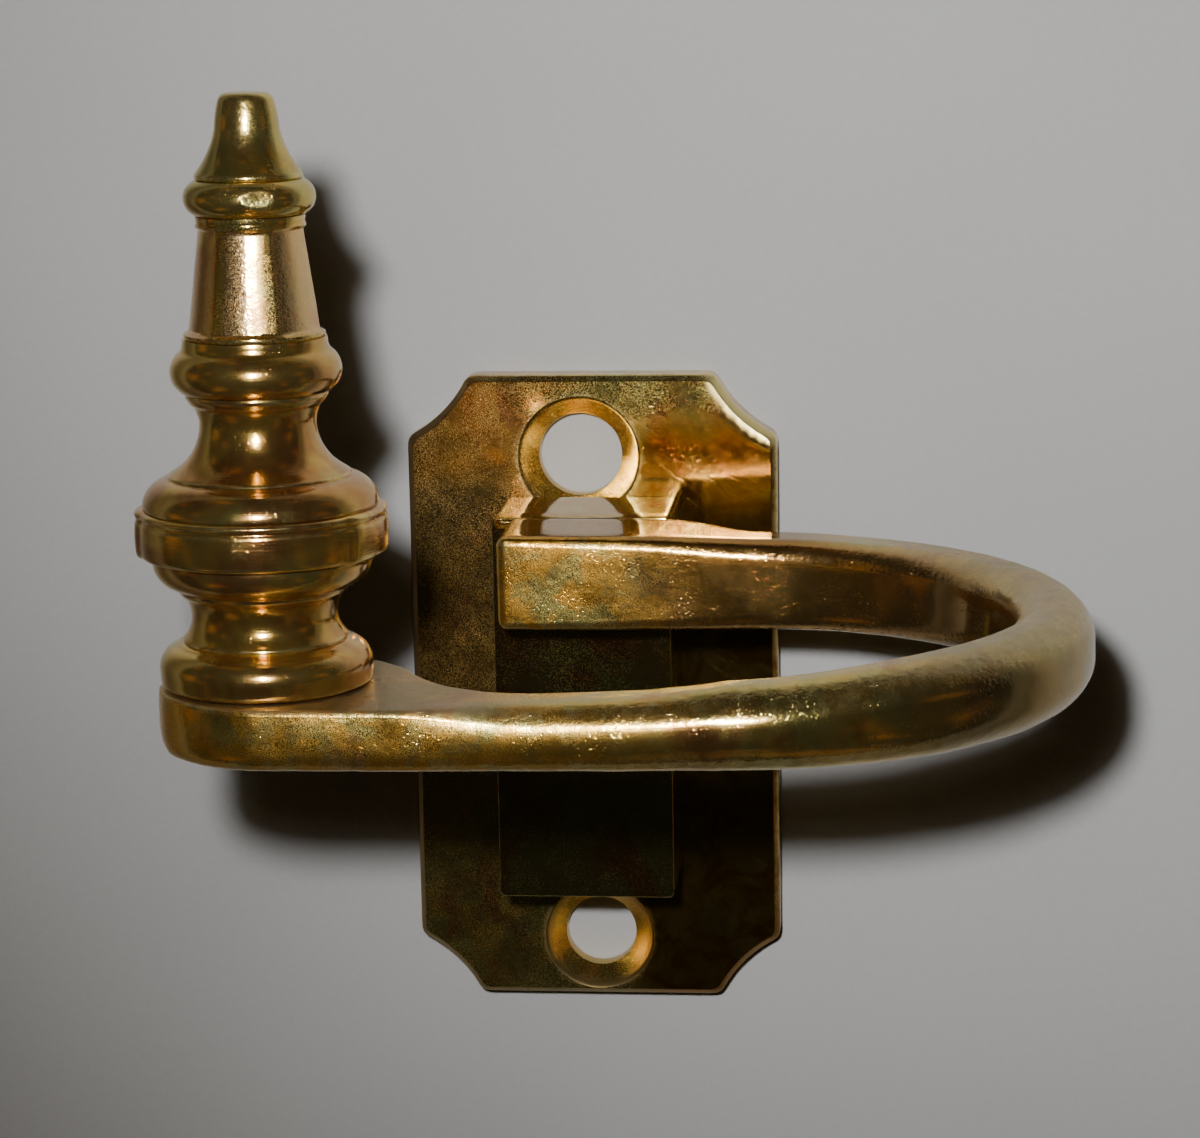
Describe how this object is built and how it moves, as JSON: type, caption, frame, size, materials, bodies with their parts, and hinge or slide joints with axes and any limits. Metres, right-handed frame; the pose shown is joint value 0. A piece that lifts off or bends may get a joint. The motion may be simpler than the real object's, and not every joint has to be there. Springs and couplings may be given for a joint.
{
  "type": "jamb hook with turned finial",
  "caption": "Brass wall hook: scooped back plate with sunk screw holes, standoff block, round-bent arm and an upright turned finial on its eye.",
  "frame": {"origin": "centre of the back face of the plate, which lies on the wall", "axes": "+Z out of the wall, +Y along the plate towards the tip of the finial, +X towards the bend of the arm"},
  "size_m": [0.0633, 0.0776, 0.0643],
  "materials": {
    "plate_brass": "polished, clouded by age",
    "block_brass": "polished",
    "arm_brass": "polished, finely pitted and scratched",
    "turned_brass": "bright, turned",
    "rose_brass": "bright, filed flats",
    "screw_brass": "dull, machined"
  },
  "bodies": {
    "hook": {"back_plate": "plate_brass", "standoff_block": "block_brass", "arm": "arm_brass", "arm_screw": "screw_brass", "block_screw": "screw_brass", "arm_dowel": "screw_brass"},
    "finial": {"finial_bolt": "screw_brass", "finial_foot": "turned_brass", "finial_vase": "turned_brass", "finial_band": "turned_brass", "finial_shoulder": "turned_brass", "finial_bead": "turned_brass", "finial_steeple": "rose_brass", "finial_collar": "turned_brass", "finial_cap": "turned_brass"}
  },
  "joints": [
    {"name": "finial_turn", "type": "hinge", "parent": "hook", "child": "finial", "pos_m": [-0.0164, 0.0131, 0.056], "axis": [0, 1, 0], "continuous": true}
  ]
}
